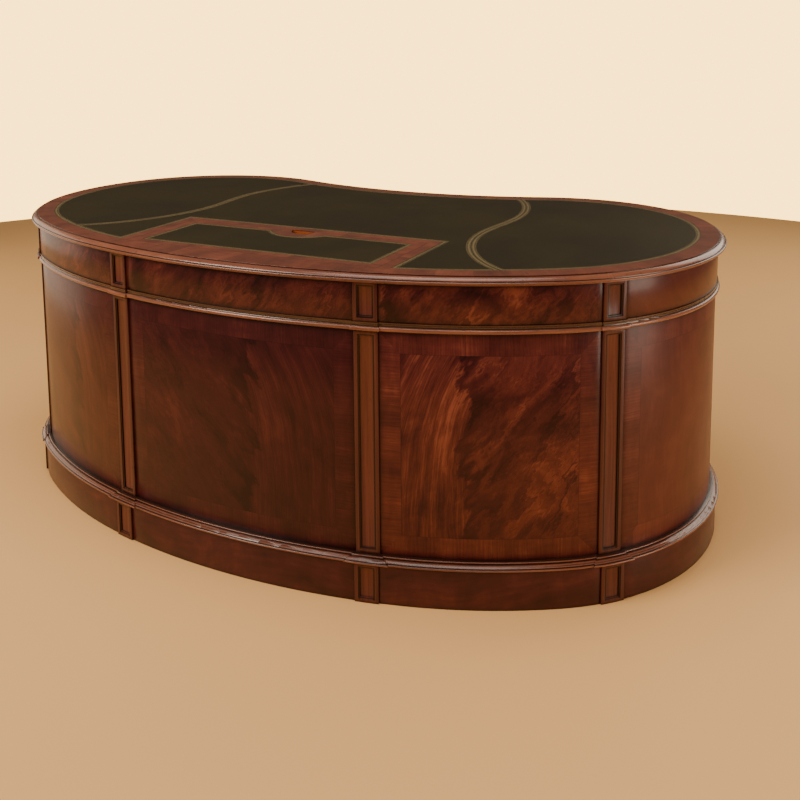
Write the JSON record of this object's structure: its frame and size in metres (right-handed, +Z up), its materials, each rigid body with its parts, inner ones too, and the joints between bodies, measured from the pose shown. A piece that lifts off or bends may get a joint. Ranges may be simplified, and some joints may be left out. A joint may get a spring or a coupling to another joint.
{
  "type": "desk",
  "caption": "Kidney shaped pedestal desk with an inset leather top, a hinged writing lid, a curved panelled front and drawers either side of a kneehole.",
  "frame": {"origin": "middle of the desk's footprint, on the floor", "axes": "+X along the length of the desk, +Y towards the hollow side where the sitter is, +Z up"},
  "size_m": [2.06, 1.1629, 0.775],
  "materials": {
    "mahogany": "french polished",
    "panel_veneer": "french polished, figured",
    "frieze_veneer": "french polished, figured",
    "crossband": "french polished",
    "lining": "waxed",
    "leather": "smooth hide with gilt tooling",
    "brass": "lacquered"
  },
  "bodies": {
    "carcase": {"top_board": "mahogany", "top_edge_moulding": "mahogany", "top_crossband": "crossband", "leather_left": "leather", "leather_centre": "leather", "leather_right": "leather", "compartment_sides": "mahogany", "compartment_floor": "lining", "lid_hinge_barrels_fixed": "brass", "frieze_front_centre": "frieze_veneer", "frieze_front_left": "frieze_veneer", "frieze_front_right": "frieze_veneer", "frieze_end_left": "frieze_veneer", "frieze_end_right": "frieze_veneer", "frieze_pilasters": "mahogany", "frieze_partitions": "lining", "section_floor": "lining", "waist_moulding": "mahogany", "modesty_panel": "panel_veneer", "front_panel_left": "panel_veneer", "front_panel_right": "panel_veneer", "end_panel_left": "panel_veneer", "end_panel_right": "panel_veneer", "panel_pilasters": "mahogany", "kneehole_side_left": "mahogany", "kneehole_side_right": "mahogany", "pedestal_floors": "lining", "drawer_rails": "mahogany", "drawer_guides": "lining", "base_moulding": "mahogany", "plinth_front": "mahogany", "plinth_ends": "mahogany", "plinth_returns": "mahogany", "plinth_pilasters": "mahogany"},
    "lid": {"lid_board": "crossband", "lid_leather": "leather", "lid_hinge_barrels_moving": "brass"},
    "frieze_drawer_left": {"frieze_drawer_left_front": "frieze_veneer", "frieze_drawer_left_box": "lining", "frieze_drawer_left_knobs": "brass"},
    "frieze_drawer_right": {"frieze_drawer_right_front": "frieze_veneer", "frieze_drawer_right_box": "lining", "frieze_drawer_right_knobs": "brass"},
    "centre_drawer": {"centre_drawer_front": "frieze_veneer", "centre_drawer_box": "lining", "centre_drawer_knobs": "brass"},
    "upper_drawer_left": {"upper_drawer_left_front": "panel_veneer", "upper_drawer_left_box": "lining", "upper_drawer_left_knobs": "brass"},
    "upper_drawer_right": {"upper_drawer_right_front": "panel_veneer", "upper_drawer_right_box": "lining", "upper_drawer_right_knobs": "brass"},
    "lower_drawer_left": {"lower_drawer_left_front": "panel_veneer", "lower_drawer_left_box": "lining", "lower_drawer_left_knobs": "brass"},
    "lower_drawer_right": {"lower_drawer_right_front": "panel_veneer", "lower_drawer_right_box": "lining", "lower_drawer_right_knobs": "brass"}
  },
  "joints": [
    {"name": "lid_hinge", "type": "hinge", "parent": "carcase", "child": "lid", "pos_m": [0, -0.48006, 0.775], "axis": [1, 0, 0], "range_deg": [0, 95]},
    {"name": "frieze_drawer_left_slide", "type": "slide", "parent": "carcase", "child": "frieze_drawer_left", "axis": [0, 1, 0], "range_m": [0, 0.3]},
    {"name": "frieze_drawer_right_slide", "type": "slide", "parent": "carcase", "child": "frieze_drawer_right", "axis": [0, 1, 0], "range_m": [0, 0.3]},
    {"name": "centre_drawer_slide", "type": "slide", "parent": "carcase", "child": "centre_drawer", "axis": [0, 1, 0], "range_m": [0, 0.28]},
    {"name": "upper_drawer_left_slide", "type": "slide", "parent": "carcase", "child": "upper_drawer_left", "axis": [0, 1, 0], "range_m": [0, 0.35]},
    {"name": "upper_drawer_right_slide", "type": "slide", "parent": "carcase", "child": "upper_drawer_right", "axis": [0, 1, 0], "range_m": [0, 0.35]},
    {"name": "lower_drawer_left_slide", "type": "slide", "parent": "carcase", "child": "lower_drawer_left", "axis": [0, 1, 0], "range_m": [0, 0.35]},
    {"name": "lower_drawer_right_slide", "type": "slide", "parent": "carcase", "child": "lower_drawer_right", "axis": [0, 1, 0], "range_m": [0, 0.35]}
  ]
}
